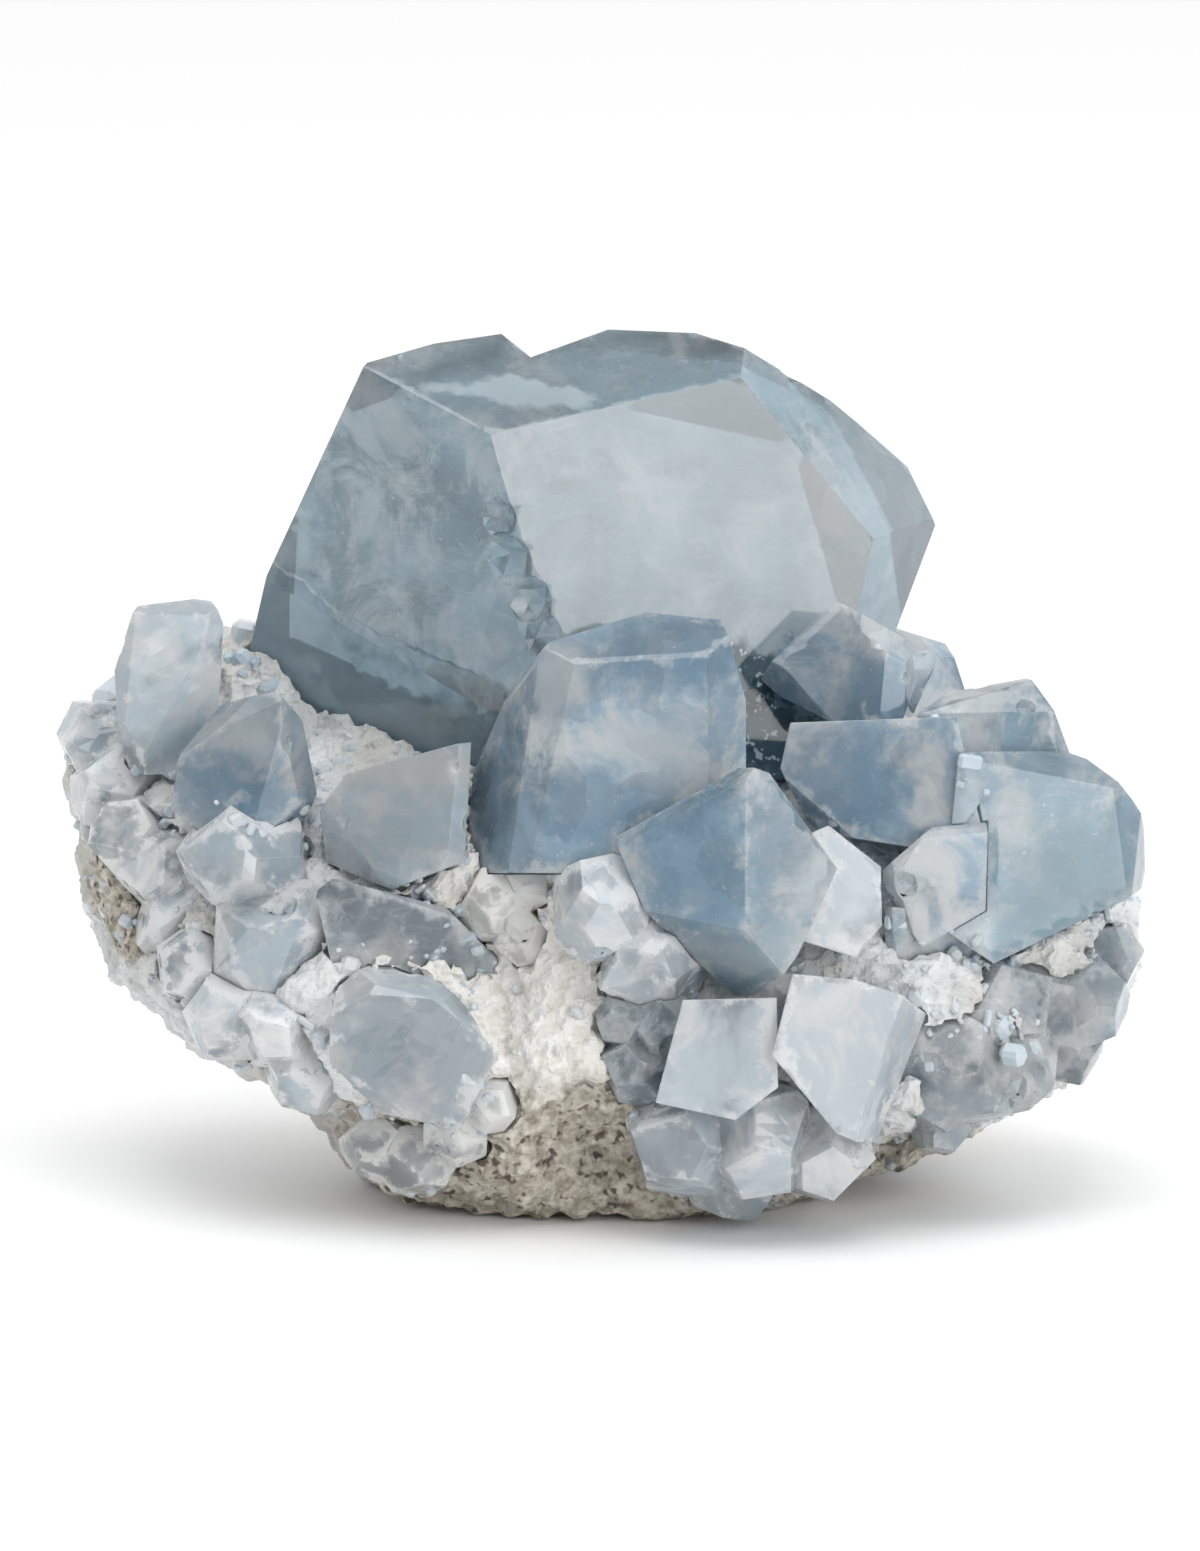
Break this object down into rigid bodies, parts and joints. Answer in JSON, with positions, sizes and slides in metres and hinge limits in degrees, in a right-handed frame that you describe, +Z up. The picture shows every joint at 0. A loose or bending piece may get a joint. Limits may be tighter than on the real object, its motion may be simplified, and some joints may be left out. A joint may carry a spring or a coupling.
{
  "type": "celestite crystal cluster",
  "caption": "Rough celestite specimen: pale blue, see-through blocky crystals grown together on a lump of cream, sandy matrix; stands on its flat foot as a display piece.",
  "frame": {"origin": "middle of the specimen's box, on the plane of its flat foot", "axes": "+Z up as it stands, +X to the right and -Y to the front as pictured"},
  "size_m": [0.0894, 0.0556, 0.0699],
  "materials": {
    "celestite_blue": "glassy crystal faces, clouded inside",
    "celestite_pale": "milky, glassy to sugary crystal faces",
    "celestite_grey": "glassy crystal faces, grey clouds inside",
    "matrix_cream": "rough, sandy and sugary"
  },
  "bodies": {
    "root": {"back_left_crystals": "celestite_blue", "back_right_crystals": "celestite_blue", "centre_crystals": "celestite_pale", "corner_crystals": "celestite_grey", "cream_crystals": "celestite_pale", "foot_crystals": "celestite_grey", "front_crystal": "celestite_blue", "grey_crystal": "celestite_grey", "large_crystal": "celestite_blue", "left_crust_crystals": "celestite_pale", "left_crystal": "celestite_blue", "low_crystal": "celestite_blue", "lower_cluster": "celestite_pale", "lower_left_crystal": "celestite_pale", "lower_right_crystals": "celestite_blue", "matrix": "matrix_cream", "middle_right_crystals": "celestite_blue", "pale_left_crystals": "celestite_pale", "plate_crystal": "celestite_pale", "right_crystals": "celestite_blue", "shaded_crystal": "celestite_grey", "slim_crystal": "celestite_pale", "upper_left_crystal": "celestite_pale", "upper_right_crystal": "celestite_blue", "wedge_crystal": "celestite_blue"}
  },
  "joints": []
}
